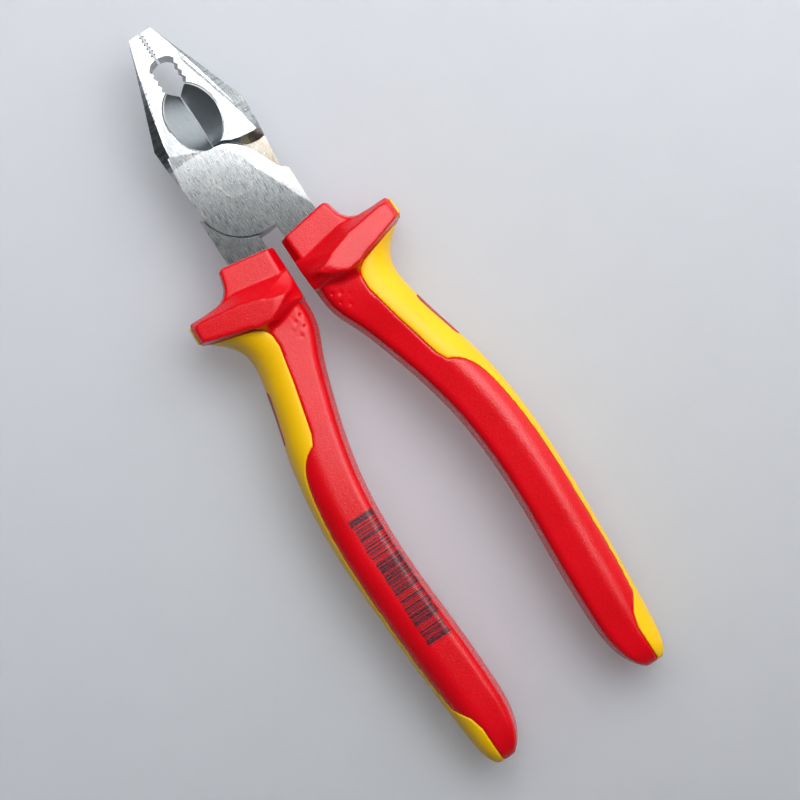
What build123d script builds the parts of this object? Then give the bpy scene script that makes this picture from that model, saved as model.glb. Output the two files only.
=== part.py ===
"""Insulated combination pliers, 200 mm: two lap-jointed steel halves, a rivet and two moulded grips."""
from build123d import *
import os

os.makedirs("parts", exist_ok=True)

# The origin is on the pivot axis, at the back face of the joint.
# +Y runs to the jaw tips, +X to the right handle, +Z out of the front face.  Millimetres.
# Every shape is drawn about the mid-plane of the joint, as the half whose jaw is on the left and
# whose handle is on the right.  The other half is the same shape turned over about Y.

# Joint
half_thickness = 5.0
lap_gap = 0.05
jaw_gap = 0.3
cheek_x = -jaw_gap / 2
roll_drop = 0.72
roll_width = 4.5

# Jaws
tip_y = 41.9
jaw_base_y = 3.4
bevel_foot = 3.2
jaw_slope = 0.052

# Rivet
rivet_radius = 4.0
rivet_head_radius = 5.3
rivet_head_depth = 1.5
running_fit = 0.05

# Fine teeth near the tip
fine_tooth_pitch = 1.07
fine_tooth_side = 0.57
fine_tooth_first = 35.6
fine_tooth_count = 6
tip_slot_width = 0.6
tip_slot_length = 9.6

# Pipe grip: an oval opening with coarse teeth, its sides leaning from the front face to the back
pipe_wall_x = -2.45
pipe_lean = 1.0
pipe_top_y = 34.4
pipe_tooth_pitch = 1.85
pipe_tooth_depth = 0.6
pipe_tooth_first = 33.3
pipe_tooth_count = 4

# Cutters: a dished recess in each face, down to a narrow land at mid-thickness
cutter_land = 0.1
cutter_rim_x = 7.1
cutter_rim_low = 8.2
cutter_rim_high = 26.9
cutter_edge_low = 9.8
cutter_edge_high = 24.2

# Tang and inner sleeve
tang_half_thickness = 4.4
neck_side_x = 12.8
neck_end_y = -20.0
inner_sleeve_wall = 1.0
sleeve_top_y = -30.0
sleeve_trim_width = 80.0

# Grip
grip_reach = 20.0
outer_corner_share = 0.42
inner_corner_share = 0.15
side_draft_share = 0.08
neck_foot = 3.0
neck_half_thickness = 7.5
neck_slope = 0.12
neck_edge_radius = 0.5
guard_foot = 6.5
guard_half_thickness = 12.0
guard_slope = 0.16
guard_end_slope = 0.12
guard_edge_radius = 0.5
dimple_radius = 0.5
badge_length = 14.0
badge_height = 8.0
badge_corner = 2.0
badge_cut_height = 5.4

# Jaw outline, tip first, at mid-thickness and along the edge of the flat face
jaw_side_mid = [(-3.2, tip_y), (-12.9, 15.4), (-12.7, 9.0), (-12.2, jaw_base_y)]
jaw_side_face = [(-2.3, tip_y), (-9.7, 15.4), (-11.0, 9.0), (-12.1, jaw_base_y)]

# Shoulder that clears the other half's plate, from the cutters outward
shoulder_lap = [(0.0, 8.7), (-1.6, 8.6), (-3.4, 7.95), (-5.3, 6.7), (-6.9, 5.4), (-8.4, 4.75), (-10.5, 4.5)]
shoulder_lap += [(-13.0, 4.8), (-20.0, 4.8), (-20.0, 0.0), (5.0, 0.0), (5.0, 8.7), (0.0, 8.7)]
shoulder_face = [(0.0, 9.0), (-1.6, 8.9), (-3.0, 8.5), (-4.8, 7.5), (-6.6, 7.0), (-8.6, 6.7), (-10.6, 6.45)]
shoulder_face += [(-13.2, 6.8), (-20.0, 6.9), (-20.0, 0.0), (5.0, 0.0), (5.0, 9.0), (0.0, 9.0)]

# Joint plate: cam edge at the lower left and relief edge at the upper right
plate_cam = [(-11.7, -5.0), (-10.3, -9.4), (-7.0, -13.2), (-3.6, -15.0), (0.4, -15.7)]
plate_relief = [(10.7, -3.65), (9.2, -0.4), (7.6, 2.9), (5.4, 5.6), (3.2, 7.3), (0.0, 8.25)]
plate_jaw_side = [(cheek_x, 8.3), (cheek_x, 12.0), (-11.0, 12.0), (-12.15, jaw_base_y), (-11.7, -1.5)]
plate_neck_side = [(2.4, -15.75), (2.6, neck_end_y), (neck_side_x, neck_end_y), (neck_side_x, -5.9)]
plate_neck_side += [(12.2, -5.2), (11.3, -4.6)]

# Neck wall round the recess for the other half's plate
recess_rim = [(12.1, -5.2), (10.7, -9.7), (7.3, -13.75), (3.8, -15.7)]
recess_neck_side = [(2.4, -16.1), (2.6, neck_end_y), (neck_side_x, neck_end_y), (neck_side_x, -5.1)]

# Tang inside the grip
tang_outer = [(12.8, -20.0), (13.1, -30.0), (14.6, -41.0), (18.3, -55.0), (21.2, -66.0), (24.2, -80.0)]
tang_outer += [(25.3, -97.0), (24.4, -120.0), (23.6, -136.0)]
tang_inner = [(18.4, -136.0), (19.2, -120.0), (19.9, -97.0), (18.8, -80.0), (15.9, -66.0), (12.9, -55.0)]
tang_inner += [(9.0, -44.0), (4.6, -33.0), (2.8, -24.0), (2.6, -20.0)]
tang_tip = (20.9, -141.0)

# Grip stations: y, inner edge x, outer edge x, thickness, and how far the broad face falls to the inner edge
grip_stations = [
    (-30.5, 1.3, 28.6, 15.0, 0.0),
    (-32.5, 1.4, 26.4, 16.0, 0.4),
    (-35.0, 1.6, 23.8, 16.8, 1.0),
    (-38.0, 1.7, 21.9, 17.6, 1.6),
    (-42.0, 2.4, 21.3, 18.4, 2.2),
    (-48.0, 4.9, 22.2, 19.0, 2.5),
    (-56.0, 7.8, 24.1, 19.2, 2.4),
    (-66.0, 10.8, 26.8, 19.4, 2.1),
    (-78.0, 13.5, 29.0, 19.6, 1.6),
    (-92.0, 15.0, 30.0, 19.6, 1.2),
    (-108.0, 15.0, 29.8, 19.4, 1.1),
    (-124.0, 14.1, 29.0, 18.8, 1.0),
    (-138.0, 13.7, 28.1, 18.0, 0.9),
    (-148.0, 14.3, 27.3, 16.6, 0.8),
    (-154.0, 16.5, 26.3, 13.6, 0.5),
    (-157.0, 19.2, 24.6, 8.0, 0.2),
]

# Neck block above the guard, at its foot and on its broad face
neck_foot_outline = [(1.2, -19.9), (15.0, -17.6), (16.1, -18.2), (16.6, -20.3), (17.3, -22.3)]
neck_foot_outline += [(18.6, -23.8), (20.6, -24.7), (24.0, -25.2), (24.0, -30.0), (1.2, -30.0)]
neck_top_outline = [(3.2, -19.7), (14.6, -17.8), (15.3, -18.3), (15.7, -20.4), (16.4, -22.6)]
neck_top_outline += [(17.8, -24.3), (20.0, -25.5), (22.8, -26.1), (22.8, -30.0), (3.2, -30.0)]

# Guard outline at its foot and on its flat top
guard_foot_outline = [(1.2, -26.6), (15.0, -24.4), (19.5, -24.95), (24.0, -25.2), (28.4, -25.1)]
guard_foot_outline += [(29.4, -26.1), (29.6, -30.4), (21.8, -33.0), (15.1, -34.9), (11.5, -38.6)]
guard_foot_outline += [(1.5, -34.6)]
guard_top_outline = [(5.5, -31.9), (14.8, -29.7), (19.6, -28.6), (24.4, -27.5), (25.8, -27.2), (26.6, -27.6)]
guard_top_outline += [(26.9, -31.4), (21.6, -33.0), (14.8, -34.9), (11.8, -35.7), (5.6, -32.5)]

# Row of moulded dimples below the guard
dimples = [(4.7, -38.0, 7.1), (6.6, -38.9, 7.6), (8.3, -40.3, 7.95), (5.3, -40.9, 7.2), (7.1, -42.5, 7.6)]

# Soft inlay boundary seen from the front: down the grip, then back up outside it
soft_upper = [(28.9, -25.0), (28.9, -30.9), (21.9, -33.4), (15.6, -35.3), (13.9, -36.4), (13.1, -38.4)]
soft_upper += [(13.0, -41.5), (15.0, -51.0), (18.3, -64.0), (19.6, -66.6)]
soft_strip = [(19.6, -66.6), (22.2, -68.0), (24.6, -71.0), (26.3, -76.0), (27.8, -86.0), (28.4, -100.0)]
soft_strip += [(28.0, -116.0), (27.4, -130.0), (26.4, -139.5)]
soft_end = [(26.4, -139.5), (23.6, -143.6), (22.7, -147.0), (22.7, -160.0), (40.0, -160.0), (40.0, -25.0)]
soft_end += [(28.9, -25.0)]

# Fold lines that broad faces fall away from: local x runs down the slope and local y along Z
front_jaw_fold = Plane(origin=(-5.25, 10.0, 0), x_dir=(0.394, 0.919, 0), z_dir=(0.919, -0.394, 0))
back_jaw_fold = Plane(origin=(-5.25, 9.5, 0), x_dir=(0, 1, 0), z_dir=(1, 0, 0))
neck_fold = Plane(origin=(0, -30.0, 0), x_dir=(0, 1, 0), z_dir=(1, 0, 0))
guard_fold = Plane(origin=(10.8, -36.6, 0), x_dir=(0.496, 0.868, 0), z_dir=(0.868, -0.496, 0))
guard_end_fold = Plane(origin=(11.2, -32.3, 0), x_dir=(-0.969, -0.248, 0), z_dir=(-0.248, 0.969, 0))
fold_length = 60.0
fold_reach = 40.0

# Rolled edge along the upper right of the joint plate
plate_roll = Plane(origin=(4.5, 1.7, 0), x_dir=(0.909, 0.417, 0), z_dir=(0.417, -0.909, 0))
roll_start = -9.0
roll_length = 30.0
roll_top = 7.0

# Seat of the badge on the outer side of the grip
badge_seat = Plane(origin=(23.2, -56.2, 0), x_dir=(0.245, -0.969, 0), z_dir=(0.969, 0.245, 0))


def grip_section(y, inner, outer, thickness, fall):
    """Section across the grip, drafted to both sides of the mould's parting plane."""
    width = outer - inner
    size = min(width, thickness)
    draft = side_draft_share * width
    deep = thickness / 2
    shallow = deep - fall
    across = Plane(origin=(0, y, 0), x_dir=(1, 0, 0), z_dir=(0, -1, 0))
    with BuildSketch(across, mode=Mode.PRIVATE) as section:
        with BuildLine():
            Polyline(
                (inner, 0),
                (inner + draft, shallow),
                (outer - draft, deep),
                (outer, 0),
                (outer - draft, -deep),
                (inner + draft, -shallow),
                close=True,
            )
        make_face()
        corners = section.vertices().sort_by(Axis.X)
        fillet(corners[1:3], inner_corner_share * size)
        fillet(section.vertices().sort_by(Axis.X)[-3:-1], outer_corner_share * size)
    return section.sketch


def outline(points, height):
    """Flat face inside a closed run of points, at a height from the mid-plane."""
    with BuildSketch(Plane.XY.offset(height), mode=Mode.PRIVATE) as face:
        with BuildLine():
            Polyline(*points, close=True)
        make_face()
    return face.sketch


def above_falling_face(height, slope):
    """Outline of what lies above a face that falls away from its fold line."""
    return [
        (0, height),
        (fold_length, height - fold_length * slope),
        (fold_length, 2 * height),
        (0, 2 * height),
    ]


def tang_profile(wall):
    """Tang outline, widened by a wall on each side and at the tip."""
    outer = [(x + wall, y) for x, y in tang_outer]
    inner = [(x - wall, y) for x, y in tang_inner]
    tip = (tang_tip[0], tang_tip[1] - wall)
    with BuildSketch(mode=Mode.PRIVATE) as profile:
        with BuildLine():
            Spline(*outer)
            Spline(outer[-1], tip, inner[0])
            Spline(*inner)
            Line(inner[-1], outer[0])
        make_face()
    return profile.sketch


def pipe_grip_outline(lean):
    """Left half of the pipe grip with its coarse teeth, leaning outward by a distance."""
    wall = pipe_wall_x - lean
    points = [(1, pipe_top_y), (-0.4, pipe_top_y), (-1.7 - lean / 2, pipe_top_y - 0.4)]
    for tooth in range(pipe_tooth_count):
        crest_y = pipe_tooth_first - tooth * pipe_tooth_pitch
        points.append((wall, crest_y))
        points.append((wall - pipe_tooth_depth, crest_y - pipe_tooth_pitch / 2))
    points.append((wall, pipe_tooth_first - pipe_tooth_count * pipe_tooth_pitch))
    points.append((-1.4, 24.9))
    points.append((1, 23.4))
    return points


def rivet_profile(side, fit):
    """Half section of the rivet: shank to mid-plane and a flush countersunk head on one side."""
    neck_z = half_thickness - rivet_head_depth
    with BuildSketch(Plane.XZ, mode=Mode.PRIVATE) as profile:
        with BuildLine():
            Polyline(
                (0, 0),
                (rivet_radius + fit, 0),
                (rivet_radius + fit, side * (neck_z - fit)),
                (rivet_head_radius + fit, side * half_thickness),
                (0, side * half_thickness),
                close=True,
            )
        make_face()
    return profile.sketch


# ---------------------------------------------------------------- steel half

with BuildPart() as half_blank:
    # Joint plate and neck, front layer
    with BuildSketch(Plane.XY.offset(lap_gap / 2)):
        with BuildLine():
            Polyline(*plate_jaw_side, plate_cam[0])
            Spline(*plate_cam)
            Polyline(plate_cam[-1], *plate_neck_side, plate_relief[0])
            Spline(*plate_relief)
            Line(plate_relief[-1], plate_jaw_side[0])
        make_face()
    extrude(amount=half_thickness - lap_gap / 2)

    # Neck, back layer, outside the recess for the other plate
    with BuildSketch(Plane.XY.offset(-half_thickness)):
        with BuildLine():
            Spline(*recess_rim)
            Polyline(recess_rim[-1], *recess_neck_side, recess_rim[0])
        make_face()
    extrude(amount=half_thickness + lap_gap)

with BuildPart() as jaw_blank:
    # Jaw with a bevelled outer side towards each face
    jaw_mid = [(cheek_x, jaw_base_y), (cheek_x, tip_y), *jaw_side_mid]
    jaw_face = [(cheek_x, jaw_base_y), (cheek_x, tip_y), *jaw_side_face]
    add(outline(jaw_mid, -bevel_foot))
    extrude(amount=2 * bevel_foot)
    for side in (-1, 1):
        add(outline(jaw_mid, side * bevel_foot))
        add(outline(jaw_face, side * half_thickness))
        loft(ruled=True)

    # Recess for the other plate, with a drafted shoulder
    add(outline(shoulder_lap, lap_gap / 2))
    add(outline(shoulder_face, -half_thickness))
    loft(ruled=True, mode=Mode.SUBTRACT)

with BuildPart() as half_shape:
    add(half_blank.part)
    add(jaw_blank.part)

    # Jaws thinner towards the tips: a diagonal fold in front, a square one at the back
    for fold, side in ((front_jaw_fold, 1), (back_jaw_fold, -1)):
        with BuildSketch(fold):
            with BuildLine():
                Polyline(*above_falling_face(side * half_thickness, side * jaw_slope), close=True)
            make_face()
        extrude(amount=fold_reach, both=True, mode=Mode.SUBTRACT)

    # Rolled edge of the plate
    with BuildSketch(plate_roll.offset(roll_start)):
        with BuildLine():
            low = half_thickness - roll_drop
            middle = (roll_width / 2, half_thickness - roll_drop / 4)
            ThreePointArc((0, half_thickness), middle, (roll_width, low))
            beyond = 2 * roll_width
            Polyline((roll_width, low), (beyond, low), (beyond, roll_top), (0, roll_top), (0, half_thickness))
        make_face()
    extrude(amount=roll_length, mode=Mode.SUBTRACT)

    # Cutter recess in each face
    for side in (-1, 1):
        with BuildSketch(Plane.XY.offset(side * cutter_land)):
            with Locations((0, (cutter_edge_low + cutter_edge_high) / 2)):
                Ellipse(jaw_gap, (cutter_edge_high - cutter_edge_low) / 2)
        with BuildSketch(Plane.XY.offset(side * half_thickness)):
            with Locations((0, (cutter_rim_low + cutter_rim_high) / 2)):
                Ellipse(cutter_rim_x, (cutter_rim_high - cutter_rim_low) / 2)
        loft(mode=Mode.SUBTRACT)

    # Pipe grip
    add(outline(pipe_grip_outline(pipe_lean), -half_thickness))
    add(outline(pipe_grip_outline(0), half_thickness))
    loft(ruled=True, mode=Mode.SUBTRACT)

    # Fine gripping teeth near the tip
    with BuildSketch(Plane.XY.offset(-half_thickness)):
        with Locations((0, tip_y - tip_slot_length / 2)):
            Rectangle(tip_slot_width, tip_slot_length)
        for tooth in range(fine_tooth_count):
            with Locations((-tip_slot_width / 2, fine_tooth_first + tooth * fine_tooth_pitch)):
                Rectangle(fine_tooth_side, fine_tooth_side, rotation=45)
    extrude(amount=2 * half_thickness, mode=Mode.SUBTRACT)

    # Tang
    with BuildSketch(Plane.XY.offset(-tang_half_thickness)):
        add(tang_profile(0))
    extrude(amount=2 * tang_half_thickness)

with BuildPart() as front_shape:
    add(half_shape.part)
    add(rivet_profile(1, running_fit))
    revolve(axis=Axis.Z, mode=Mode.SUBTRACT)

with BuildPart() as back_shape:
    add(half_shape.part)
    add(rivet_profile(1, 0))
    revolve(axis=Axis.Z, mode=Mode.SUBTRACT)

with BuildPart() as rivet_shape:
    for side in (-1, 1):
        add(rivet_profile(side, 0))
        revolve(axis=Axis.Z)

# ---------------------------------------------------------------- grip

with BuildPart() as grip_body:
    for station in grip_stations:
        add(grip_section(*station))
    loft()

with BuildPart() as grip_guard:
    add(outline(guard_foot_outline, -guard_foot))
    extrude(amount=2 * guard_foot)
    for side in (-1, 1):
        add(outline(guard_foot_outline, side * guard_foot))
        add(outline(guard_top_outline, side * guard_half_thickness))
        loft(ruled=True)

    # Each broad face falls away above a fold
    for side in (-1, 1):
        with BuildSketch(guard_fold):
            with BuildLine():
                Polyline(*above_falling_face(side * guard_half_thickness, side * guard_slope), close=True)
            make_face()
        extrude(amount=fold_reach, both=True, mode=Mode.SUBTRACT)
    by_height = grip_guard.faces().sort_by(Axis.Z)
    for face in (by_height[0], by_height[-1]):
        fillet(face.edges(), guard_edge_radius)

    # The guard's broad face falls away again towards its inner end
    for side in (-1, 1):
        with BuildSketch(guard_end_fold):
            with BuildLine():
                Polyline(*above_falling_face(side * guard_half_thickness, side * guard_end_slope), close=True)
            make_face()
        extrude(amount=fold_reach, both=True, mode=Mode.SUBTRACT)

with BuildPart() as grip_neck:
    add(outline(neck_foot_outline, -neck_foot))
    extrude(amount=2 * neck_foot)
    for side in (-1, 1):
        add(outline(neck_foot_outline, side * neck_foot))
        add(outline(neck_top_outline, side * neck_half_thickness))
        loft(ruled=True)
    for side in (-1, 1):
        with BuildSketch(neck_fold):
            with BuildLine():
                Polyline(*above_falling_face(side * neck_half_thickness, side * neck_slope), close=True)
            make_face()
        extrude(amount=fold_reach, both=True, mode=Mode.SUBTRACT)
    by_height = grip_neck.faces().sort_by(Axis.Z)
    for face in (by_height[0], by_height[-1]):
        fillet(face.edges(), neck_edge_radius)

with BuildPart() as grip_envelope:
    add(grip_body.part)
    add(grip_guard.part)
    add(grip_neck.part)
    for x, y, depth in dimples:
        with Locations((x, y, depth), (x, y, -depth)):
            Sphere(dimple_radius, mode=Mode.SUBTRACT)

with BuildPart() as inner_sleeve:
    sleeve_half_thickness = tang_half_thickness + inner_sleeve_wall
    with BuildSketch(Plane.XY.offset(-sleeve_half_thickness)):
        add(tang_profile(inner_sleeve_wall))
        Rectangle(sleeve_trim_width, -2 * sleeve_top_y, mode=Mode.SUBTRACT)
    extrude(amount=2 * sleeve_half_thickness)
    add(half_shape.part, mode=Mode.SUBTRACT)

with BuildPart() as badge:
    with BuildSketch(badge_seat):
        RectangleRounded(badge_length, badge_height, badge_corner)
    extrude(amount=badge_cut_height)
    add(grip_envelope.part, mode=Mode.INTERSECT)

with BuildPart() as soft_grip:
    with BuildSketch(Plane.XY.offset(-grip_reach)):
        with BuildLine():
            Polyline(*soft_upper)
            Spline(*soft_strip)
            Polyline(*soft_end)
        make_face()
    extrude(amount=2 * grip_reach)
    add(grip_envelope.part, mode=Mode.INTERSECT)
    for neighbour in (inner_sleeve, half_shape, badge):
        add(neighbour.part, mode=Mode.SUBTRACT)

with BuildPart() as grip_shell:
    add(grip_envelope.part)
    for neighbour in (soft_grip, inner_sleeve, half_shape, badge):
        add(neighbour.part, mode=Mode.SUBTRACT)

# ---------------------------------------------------------------- finished pieces

# The finished pieces stand on the joint's back face, and the left side is the right side turned over.
as_drawn = Location((0, 0, half_thickness))
turned_over = Location((0, 0, half_thickness), (0, 180, 0))

finished = [
    ("front_half", front_shape, as_drawn),
    ("back_half", back_shape, turned_over),
    ("rivet", rivet_shape, as_drawn),
]
for side, place in (("right", as_drawn), ("left", turned_over)):
    finished += [
        (side + "_inner_sleeve", inner_sleeve, place),
        (side + "_grip_shell", grip_shell, place),
        (side + "_soft_grip", soft_grip, place),
        (side + "_badge", badge, place),
    ]

for name, shape, place in finished:
    with BuildPart() as piece:
        with Locations(place):
            add(shape.part)
    piece.part.label = name
    export_step(piece.part, "parts/" + name + ".step")
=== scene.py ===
"""Looks, light and camera for the insulated pliers, in metres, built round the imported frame."""
import math

import bpy
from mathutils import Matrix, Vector


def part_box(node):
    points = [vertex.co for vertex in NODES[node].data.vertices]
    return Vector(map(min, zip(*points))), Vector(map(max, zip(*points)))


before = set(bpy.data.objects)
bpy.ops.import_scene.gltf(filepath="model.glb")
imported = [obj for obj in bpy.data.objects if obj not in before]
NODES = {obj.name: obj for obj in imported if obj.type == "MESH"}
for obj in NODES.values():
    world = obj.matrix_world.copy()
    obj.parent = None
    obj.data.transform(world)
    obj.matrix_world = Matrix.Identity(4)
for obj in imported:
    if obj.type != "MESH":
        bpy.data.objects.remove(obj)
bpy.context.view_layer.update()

MM = 0.001
SIDES = ("right", "left")

# Heights of the joint's mid-plane and front face
HALF_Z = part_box("front_half")[1].z / 2
JOINT_FACE_Z = 2 * HALF_Z

# Cutters' dish: an oval as seen from the front, starting a little below the face
DISH_CENTRE_Y = 17.5 * MM
DISH_HALF_WIDTH = 6.9 * MM
DISH_HALF_LENGTH = 9.1 * MM
DISH_TOP_DEPTH = 0.3 * MM
DISH_FULL_DEPTH = 0.45 * MM

# Ring left by the rivet head in the joint plate
RING_CENTRE = (0.65 * MM, 0.2 * MM)
RING_RADIUS = 5.35 * MM
RING_HALF_WIDTH = 0.09 * MM
RING_WANDER = 3.2 * MM
RING_BLUR = 0.08 * MM

# Slight crown ground into the faces: across the tool, and along it below the jaws
FACE_CROWN_RADIUS = 480 * MM
FACE_SWEEP_RADIUS = 130 * MM
SWEEP_TOP_Y = 1.6 * MM
SWEEP_END_Y = 9.0 * MM

# Straw-brown tint and painted shade on the shoulder beside the joint plate, on the step below its edge
STRAW_SHADE_START_X = 5.4 * MM
STRAW_SHADE_FULL_X = 7.0 * MM
STRAW_SHADE_LOW_Y = -3.5 * MM
STRAW_SHADE_HIGH_Y = 7.6 * MM
STRAW_SHADE_BLUR = 0.8 * MM

# Bevelled outer sides of the jaws: beyond a line that leans in towards the tips
BEVEL_FOOT_Y = 8.0 * MM
BEVEL_INNER_X = 5.0 * MM
BEVEL_LEAN = 0.29
BEVEL_EDGE = 14.0 * MM
BEVEL_BLUR = 0.6 * MM

# Patch of plain bars on the left grip
BAR_PITCH = 0.42 * MM
BAR_LOW_Y = -123.0 * MM
BAR_HIGH_Y = -86.5 * MM
BAR_INNER_X = -15.9 * MM
BAR_OUTER_X = -22.6 * MM
BAR_RAGGED = 1.6 * MM
BAR_NARROW = 0.25
BAR_WIDE = 1.08

# Colours, dark and light where a material wanders between two
STEEL = ((0.35, 0.375, 0.39), (0.46, 0.48, 0.495))
STEEL_STREAK = (0.60, 0.62, 0.635)
STEEL_SCRATCH = (0.17, 0.185, 0.20)
STEEL_PIT = (0.12, 0.13, 0.14)
STEEL_SPECK = (0.95, 0.96, 0.97)
# Painted shade: darker steel for the cutters' recessed dishes
STEEL_DISH_SHADE = (0.30, 0.335, 0.355)
STEEL_CROSS_CUT = (0.20, 0.215, 0.23)
# Straw-brown tint that also paints the shade on the shoulder step
STRAW_TINT_AND_SHADE = (0.34, 0.26, 0.16)
RING_EDGE = (0.62, 0.59, 0.53)
RED = ((0.69, 0.0005, 0.006), (0.77, 0.0008, 0.009))
YELLOW = ((0.96, 0.555, 0.001), (1.0, 0.595, 0.002))
INNER_YELLOW = ((0.85, 0.55, 0.02), (0.90, 0.62, 0.03))
BADGE = ((0.40, 0.001, 0.006), (0.48, 0.002, 0.008))
INK = (0.020, 0.012, 0.022)
SHEET = ((0.412, 0.428, 0.458), (0.422, 0.438, 0.469))
# Painted light: dim and bright ends of the sheet's emission glow, which lightens the sheet and the
# shadows on it
SHEET_PAINTED_GLOW = ((0.062, 0.065, 0.071), (0.215, 0.225, 0.245))

# The view: where the camera looks, how it is turned, and the picture's own directions
ROLL = math.radians(-33.2)
VIEW_CENTRE = Vector((4.4 * MM, -68.7 * MM, HALF_Z))
VIEW_HEIGHT = 0.5
VIEW_WIDTH = 198.5 * MM
RIGHT = Vector((math.cos(ROLL), math.sin(ROLL), 0))
UP = Vector((-math.sin(ROLL), math.cos(ROLL), 0))

# The sheet under the tool: its tilt, where the guards touch it, and how its painted glow (emission
# standing in for light) grows across it
FLOOR_SIZE = 4.0
FLOOR_SLOPE = 0.027
FLOOR_TOUCH_Y = -35.7 * MM
FLOOR_GAP = 0.05 * MM
# Direction and reach of the painted glow's grading across the sheet
PAINTED_GLOW_TURN = UP * 0.6 - RIGHT * 0.8
PAINTED_GLOW_REACH = 139 * MM


# ---------------------------------------------------------------- node helpers
class Shader:
    """A material's node tree with short calls for its nodes."""

    def __init__(self, name):
        self.material = bpy.data.materials.new(name)
        self.material.use_nodes = True
        self.tree = self.material.node_tree
        self.tree.nodes.clear()
        self.surface = self.node("ShaderNodeBsdfPrincipled")
        output = self.node("ShaderNodeOutputMaterial")
        self.link(self.surface.outputs["BSDF"], output.inputs["Surface"])
        self.place = self.node("ShaderNodeTexCoord").outputs["Object"]
        split = self.node("ShaderNodeSeparateXYZ")
        self.link(self.place, split.inputs[0])
        self.x, self.y, self.z = split.outputs

    def node(self, kind, **settings):
        made = self.tree.nodes.new(kind)
        for key, value in settings.items():
            setattr(made, key, value)
        return made

    def link(self, out, to):
        self.tree.links.new(out, to)

    def feed(self, socket, value):
        if isinstance(value, bpy.types.NodeSocket):
            self.link(value, socket)
        else:
            socket.default_value = value

    def math(self, operation, *values):
        made = self.node("ShaderNodeMath", operation=operation)
        for socket, value in zip(made.inputs, values):
            self.feed(socket, value)
        return made.outputs[0]

    def plus(self, a, b):
        return self.math("ADD", a, b)

    def minus(self, a, b):
        return self.math("SUBTRACT", a, b)

    def over(self, a, b):
        return self.math("DIVIDE", a, b)

    def times(self, first, *others):
        for other in others:
            first = self.math("MULTIPLY", first, other)
        return first

    def size(self, value):
        return self.math("ABSOLUTE", value)

    def noise(self, scale, stretch=(1, 1, 1), detail=3.0, rough=0.55, shift=(0, 0, 0)):
        mapping = self.node("ShaderNodeMapping")
        mapping.inputs["Scale"].default_value = stretch
        mapping.inputs["Location"].default_value = shift
        self.link(self.place, mapping.inputs["Vector"])
        made = self.node("ShaderNodeTexNoise")
        made.inputs["Scale"].default_value = scale
        made.inputs["Detail"].default_value = detail
        made.inputs["Roughness"].default_value = rough
        self.link(mapping.outputs[0], made.inputs["Vector"])
        return made.outputs["Fac"]

    def wander(self, noise, reach):
        """A noise as a length to either side of nothing."""
        return self.times(self.minus(noise, 0.5), reach)

    def ramp(self, value, low, high, to_low=0.0, to_high=1.0):
        made = self.node("ShaderNodeMapRange")
        made.clamp = True
        sockets = ("Value", "From Min", "From Max", "To Min", "To Max")
        for key, amount in zip(sockets, (value, low, high, to_low, to_high)):
            self.feed(made.inputs[key], amount)
        return made.outputs[0]

    def band(self, value, low, high, blur):
        """1 between two levels of a value, fading out over a blur."""
        rise = self.ramp(value, low - blur, low + blur)
        fall = self.ramp(value, high - blur, high + blur, 1.0, 0.0)
        return self.times(rise, fall)

    def mix(self, share, a, b):
        made = self.node("ShaderNodeMix", data_type="RGBA")
        self.feed(made.inputs[0], share)
        self.feed(made.inputs[6], (*a, 1) if isinstance(a, tuple) else a)
        self.feed(made.inputs[7], (*b, 1) if isinstance(b, tuple) else b)
        return made.outputs[2]

    def bump(self, height, distance, strength=1.0, under=None):
        made = self.node("ShaderNodeBump")
        made.inputs["Strength"].default_value = strength
        made.inputs["Distance"].default_value = distance
        self.link(height, made.inputs["Height"])
        if under is not None:
            self.link(under, made.inputs["Normal"])
        return made.outputs[0]

    def set(self, **values):
        """Outputs of nodes linked to the surface's own sockets."""
        for key, value in values.items():
            self.link(value, self.surface.inputs[key.replace("_", " ")])

    def fix(self, **values):
        """Plain numbers set directly on the surface's own sockets."""
        for key, value in values.items():
            self.surface.inputs[key.replace("_", " ")].default_value = value

    def fed(self, key):
        """The output that already feeds one of the surface's sockets."""
        return self.surface.inputs[key].links[0].from_socket


# ---------------------------------------------------------------- ground steel
def dish_mask(s):
    """1 inside the cutters' dishes, below the flat faces."""
    across = s.over(s.x, DISH_HALF_WIDTH)
    along = s.over(s.minus(s.y, DISH_CENTRE_Y), DISH_HALF_LENGTH)
    inside = s.ramp(s.plus(s.times(across, across), s.times(along, along)), 0.96, 1.02, 1.0, 0.0)
    height = s.size(s.minus(s.z, HALF_Z))
    below = s.ramp(height, HALF_Z - DISH_FULL_DEPTH, HALF_Z - DISH_TOP_DEPTH, 1.0, 0.0)
    return s.times(inside, below)


def ring_mask(s, patches):
    """1 along the faint wavy ring where the ground-over rivet head meets the joint plate."""
    waves = s.noise(330.0, (1, 1, 1), 3.0, 0.6)
    dx = s.minus(s.x, RING_CENTRE[0])
    dy = s.minus(s.y, RING_CENTRE[1])
    radius = s.math("SQRT", s.plus(s.times(dx, dx), s.times(dy, dy)))
    radius = s.plus(radius, s.wander(waves, RING_WANDER))
    line = s.band(radius, RING_RADIUS - RING_HALF_WIDTH, RING_RADIUS + RING_HALF_WIDTH, RING_BLUR)
    face = s.ramp(s.z, JOINT_FACE_Z - 0.25 * MM, JOINT_FACE_Z - 0.1 * MM)
    return s.times(line, face, s.ramp(patches, 0.28, 0.42))


def straw_and_shade_mask(s, patches):
    """Straw-brown tint and painted shade on the shoulder and the lap step, below the front face."""
    outward = s.ramp(s.size(s.x), STRAW_SHADE_START_X, STRAW_SHADE_FULL_X)
    along = s.band(s.y, STRAW_SHADE_LOW_Y, STRAW_SHADE_HIGH_Y, STRAW_SHADE_BLUR)
    below = s.ramp(s.z, JOINT_FACE_Z - 0.6 * MM, JOINT_FACE_Z - 0.2 * MM, 1.0, 0.0)
    return s.times(outward, along, below, s.ramp(patches, 0.3, 0.6))


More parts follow.
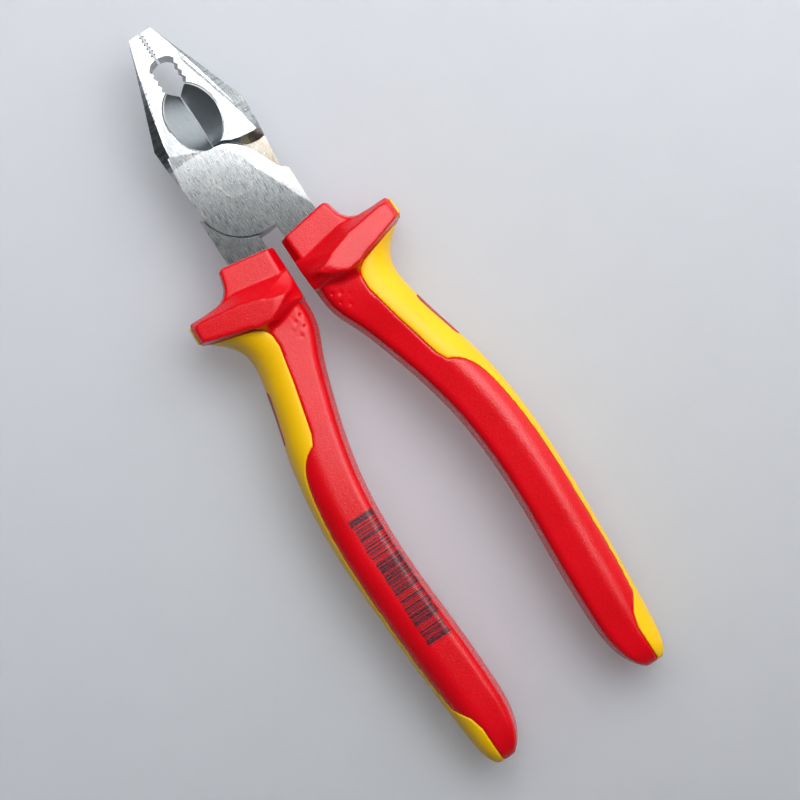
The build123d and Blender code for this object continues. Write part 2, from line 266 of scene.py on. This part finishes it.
def face_crown(s, dish):
    """Height of the ground faces' slight crown, which the dishes do not have."""
    across = s.over(s.times(s.x, s.x), -2 * FACE_CROWN_RADIUS)
    reach = s.minus(s.math("MINIMUM", s.y, SWEEP_END_Y), SWEEP_TOP_Y)
    along = s.over(s.times(reach, reach), -2 * FACE_SWEEP_RADIUS)
    return s.times(s.plus(across, along), s.minus(1.0, dish))


def steel(name):
    """Ground tool steel: fine streaks along the tool, pits, bright specks, a straw-brown tint with
    painted shade at the shoulder, and painted shade in the dishes.
    """
    s = Shader(name)
    grind = s.noise(3800.0, (1.0, 0.10, 1.0), 4.0, 0.65)
    scratches = s.noise(5600.0, (1.0, 0.14, 1.0), 2.0, 0.6)
    cloud = s.noise(150.0, (1, 0.7, 1), 3.0, 0.6)
    pits = s.noise(4200.0, (1, 0.25, 1), 3.0, 0.65, (0.3, 0.1, 0))
    specks = s.noise(3400.0, (1, 0.5, 1), 2.0, 0.5, (0.7, 0.4, 0))
    patches = s.noise(420.0, (1, 0.5, 1), 3.0, 0.6)
    dish = dish_mask(s)
    ring = ring_mask(s, patches)

    base = s.mix(s.ramp(cloud, 0.35, 0.7), *STEEL)
    base = s.mix(s.ramp(grind, 0.45, 0.62, 0.0, 0.75), base, STEEL_STREAK)
    base = s.mix(s.ramp(scratches, 0.50, 0.70, 0.0, 0.4), base, STEEL_SCRATCH)
    base = s.mix(s.ramp(pits, 0.55, 0.72, 0.0, 0.35), base, STEEL_PIT)
    base = s.mix(s.ramp(specks, 0.64, 0.71, 0.0, 0.9), base, STEEL_SPECK)
    # Painted shade: darker steel in the dishes
    base = s.mix(s.times(dish, 0.8), base, STEEL_DISH_SHADE)
    # Painted shade with a straw-brown tint on the step beside the joint plate
    base = s.mix(s.times(straw_and_shade_mask(s, patches), 0.6), base, STRAW_TINT_AND_SHADE)
    base = s.mix(s.times(ring, s.ramp(cloud, 0.3, 0.6, 0.25, 0.7)), base, RING_EDGE)
    rough = s.plus(s.ramp(grind, 0.3, 0.8, 0.25, 0.36), s.times(dish, 0.16))

    normal = s.bump(face_crown(s, dish), 1.0)
    normal = s.bump(grind, 0.02 * MM, 0.35, normal)
    normal = s.bump(pits, 0.03 * MM, 0.35, normal)
    normal = s.bump(ring, 0.02 * MM, 0.4, normal)
    s.set(Base_Color=base, Roughness=rough, Normal=normal)
    s.fix(Metallic=1.0)
    return s


def cross_cut(s):
    """Grinding lines across the jaws' bevelled outer sides."""
    waves = s.noise(2400.0, (0.05, 0.62, 0.05), 3.0, 0.6, (0.1, 0.2, 0.3))
    out = s.ramp(s.size(s.x), BEVEL_INNER_X, BEVEL_INNER_X + 1.0 * MM)
    high = s.ramp(s.y, BEVEL_FOOT_Y, BEVEL_FOOT_Y + 1.0 * MM)
    edge = s.plus(s.size(s.x), s.times(s.y, BEVEL_LEAN))
    beyond = s.ramp(edge, BEVEL_EDGE, BEVEL_EDGE + BEVEL_BLUR)
    return s.times(waves, out, high, beyond)


def jaw_steel():
    s = steel("jaw_steel")
    lines = cross_cut(s)
    colour = s.mix(s.ramp(lines, 0.50, 0.60, 0.0, 0.7), s.fed("Base Color"), STEEL_CROSS_CUT)
    s.set(Base_Color=colour, Normal=s.bump(lines, 0.12 * MM, 0.8, s.fed("Normal")))
    return s.material


def rivet_steel():
    return steel("rivet_steel").material


# ---------------------------------------------------------------- moulded plastic
def moulded(name, colours, rough, grain_depth):
    """Moulded plastic with a leathery grain and a slightly uneven colour."""
    s = Shader(name)
    grain = s.noise(2600.0, (1, 1, 1), 2.0, 0.5)
    fine = s.noise(5200.0, (1, 1, 1), 2.0, 0.5)
    cloud = s.noise(90.0, (1, 1, 1), 2.0, 0.5)
    normal = s.bump(grain, grain_depth, 0.6)
    normal = s.bump(fine, grain_depth / 3, 0.5, normal)
    s.set(Base_Color=s.mix(s.ramp(cloud, 0.3, 0.7), *colours), Normal=normal)
    s.set(Roughness=s.ramp(fine, 0.3, 0.7, rough - 0.04, rough + 0.04))
    return s


def bar_widths(s, count):
    """Share of its pitch that each bar fills, wandering with the bar's count and standing for nothing."""
    mixed = s.times(s.math("SINE", s.times(count, 12.9898)), 43.7585)
    return s.ramp(s.math("FRACT", mixed), 0.0, 1.0, BAR_NARROW, BAR_WIDE)


def bar_print(s):
    """Share of dark ink: a worn patch of plain bars across the front of the left grip."""
    step = s.over(s.minus(s.y, BAR_LOW_Y), BAR_PITCH)
    count = s.math("FLOOR", step)
    past_bar = s.minus(s.minus(step, count), bar_widths(s, count))
    bar = s.ramp(past_bar, -0.06, 0.06, 1.0, 0.0)
    ragged = s.plus(s.x, s.wander(s.noise(500.0, (1, 1, 1), 2.0, 0.5), BAR_RAGGED))
    across = s.band(ragged, BAR_OUTER_X, BAR_INNER_X, 0.08 * MM)
    along = s.band(s.y, BAR_LOW_Y, BAR_HIGH_Y, 0.05 * MM)
    front = s.ramp(s.z, HALF_Z, HALF_Z + 1.0 * MM)
    wear = s.ramp(s.noise(1700.0, (1, 1, 1), 3.0, 0.6), 0.35, 0.5, 0.72, 0.97)
    return s.times(bar, across, along, front, wear)


def grip_red(name, printed):
    s = moulded(name, RED, 0.25, 0.09 * MM)
    s.fix(Specular_IOR_Level=0.42)
    if printed:
        s.set(Base_Color=s.mix(bar_print(s), s.fed("Base Color"), INK))
    return s.material


def grip_yellow():
    s = moulded("grip_yellow", YELLOW, 0.42, 0.05 * MM)
    s.fix(Specular_IOR_Level=0.35)
    return s.material


def inner_insulation():
    return moulded("inner_insulation", INNER_YELLOW, 0.5, 0.06 * MM).material


def badge_red():
    return moulded("badge_red", BADGE, 0.45, 0.06 * MM).material


# ---------------------------------------------------------------- sheet under the tool
def sheet_with_painted_glow():
    """Pale translucent sheet with a painted glow: emission, brighter towards the upper left of the view,
    that keeps shadows on it soft and light.
    """
    s = Shader("floor")
    grain = s.noise(60.0, (1, 1, 1), 4.0, 0.6)
    across = s.times(s.x, PAINTED_GLOW_TURN.x)
    along = s.times(s.plus(s.y, FLOOR_TOUCH_Y - VIEW_CENTRE.y), PAINTED_GLOW_TURN.y)
    # Painted light: the glow grows towards the upper left of the view, as the lamp's light does
    painted_glow = s.ramp(s.plus(across, along), -PAINTED_GLOW_REACH, PAINTED_GLOW_REACH)
    s.set(Base_Color=s.mix(s.ramp(grain, 0.3, 0.7), *SHEET), Emission_Color=s.mix(painted_glow, *SHEET_PAINTED_GLOW))
    s.fix(Roughness=0.7, Emission_Strength=1.0)
    s.fix(Subsurface_Weight=1.0, Subsurface_Radius=(1.0, 0.92, 0.86), Subsurface_Scale=0.03)
    s.surface.subsurface_method = "BURLEY"
    return s.material


def lay_floor():
    """Plain sheet under the guards, tilted so that the handle ends rest on it as well."""
    bpy.ops.mesh.primitive_plane_add(size=FLOOR_SIZE)
    floor = bpy.context.object
    floor.name = "floor"
    floor.rotation_euler = (-math.atan(FLOOR_SLOPE), 0, 0)
    floor.location = Vector((0, FLOOR_TOUCH_Y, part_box("right_grip_shell")[0].z - FLOOR_GAP))
    floor.data.materials.append(sheet_with_painted_glow())


# ---------------------------------------------------------------- finishes on the pieces
def dress(node, material):
    """Give a CAD node its finish."""
    data = NODES[node].data
    data.materials.clear()
    data.materials.append(material)
    for face in data.polygons:
        face.use_smooth = True


def soften(node, voxel, rounds):
    """Fine even mesh with softly rounded edges for a moulded piece."""
    remesh = NODES[node].modifiers.new("even", "REMESH")
    remesh.mode = "VOXEL"
    remesh.voxel_size = voxel
    remesh.use_smooth_shade = True
    smooth = NODES[node].modifiers.new("soft", "SMOOTH")
    smooth.factor = 0.5
    smooth.iterations = rounds


def crisp(node, width):
    """Narrow broken edges on a ground steel piece."""
    bevel = NODES[node].modifiers.new("edges", "BEVEL")
    bevel.width = width
    bevel.segments = 2
    bevel.limit_method = "ANGLE"
    bevel.angle_limit = math.radians(28)
    bevel.harden_normals = True


def finish_steel():
    halves = jaw_steel()
    for node in ("front_half", "back_half"):
        dress(node, halves)
        crisp(node, 0.12 * MM)
    dress("rivet", rivet_steel())


def finish_grips():
    red = {"right": grip_red("grip_red", False), "left": grip_red("grip_red_printed", True)}
    yellow = grip_yellow()
    insulation = inner_insulation()
    badge = badge_red()
    for side in SIDES:
        dress(side + "_grip_shell", red[side])
        dress(side + "_soft_grip", yellow)
        dress(side + "_inner_sleeve", insulation)
        dress(side + "_badge", badge)
        soften(side + "_grip_shell", 0.34 * MM, 7)
        soften(side + "_soft_grip", 0.30 * MM, 3)


# ---------------------------------------------------------------- camera and light
def place_camera():
    """Camera looking straight down on the tool, which lies slanting across the picture."""
    data = bpy.data.cameras.new("camera")
    data.angle = 2 * math.atan(VIEW_WIDTH / 2 / VIEW_HEIGHT)
    data.clip_start = 0.01
    camera = bpy.data.objects.new("camera", data)
    bpy.context.scene.collection.objects.link(camera)
    camera.location = VIEW_CENTRE + Vector((0, 0, VIEW_HEIGHT))
    camera.rotation_euler = (0, 0, ROLL)
    bpy.context.scene.camera = camera


def area_light(name, width, depth, power, colour=(1, 1, 1)):
    """Rectangular soft light, still to be placed."""
    data = bpy.data.lights.new(name, "AREA")
    data.shape = "RECTANGLE"
    data.size = width
    data.size_y = depth
    data.energy = power
    data.color = colour
    light = bpy.data.objects.new(name, data)
    bpy.context.scene.collection.objects.link(light)
    return light


def light_stage():
    """Level softbox up and to the right of the picture, a weak card beside the jaws, and a dim room."""
    key = area_light("key", 0.80, 0.55, 7.6, (1.0, 0.99, 0.98))
    key.location = VIEW_CENTRE + RIGHT * 0.154 + UP * 0.377 + Vector((0, 0, 0.60))
    key.rotation_euler = (0, 0, ROLL + math.radians(-22))

    card = area_light("card", 0.6, 0.45, 1.1)
    card.location = Vector((0.55, 0.10, 0.20))
    aim = Vector((0, 0.02, HALF_Z))
    card.rotation_euler = (aim - card.location).to_track_quat("-Z", "Y").to_euler()

    world = bpy.data.worlds.new("studio")
    bpy.context.scene.world = world
    world.use_nodes = True
    background = world.node_tree.nodes["Background"]
    background.inputs["Color"].default_value = (0.93, 0.96, 1.0, 1)
    background.inputs["Strength"].default_value = 0.07


finish_steel()
finish_grips()
lay_floor()
place_camera()
light_stage()
bpy.context.scene.view_settings.view_transform = "Standard"
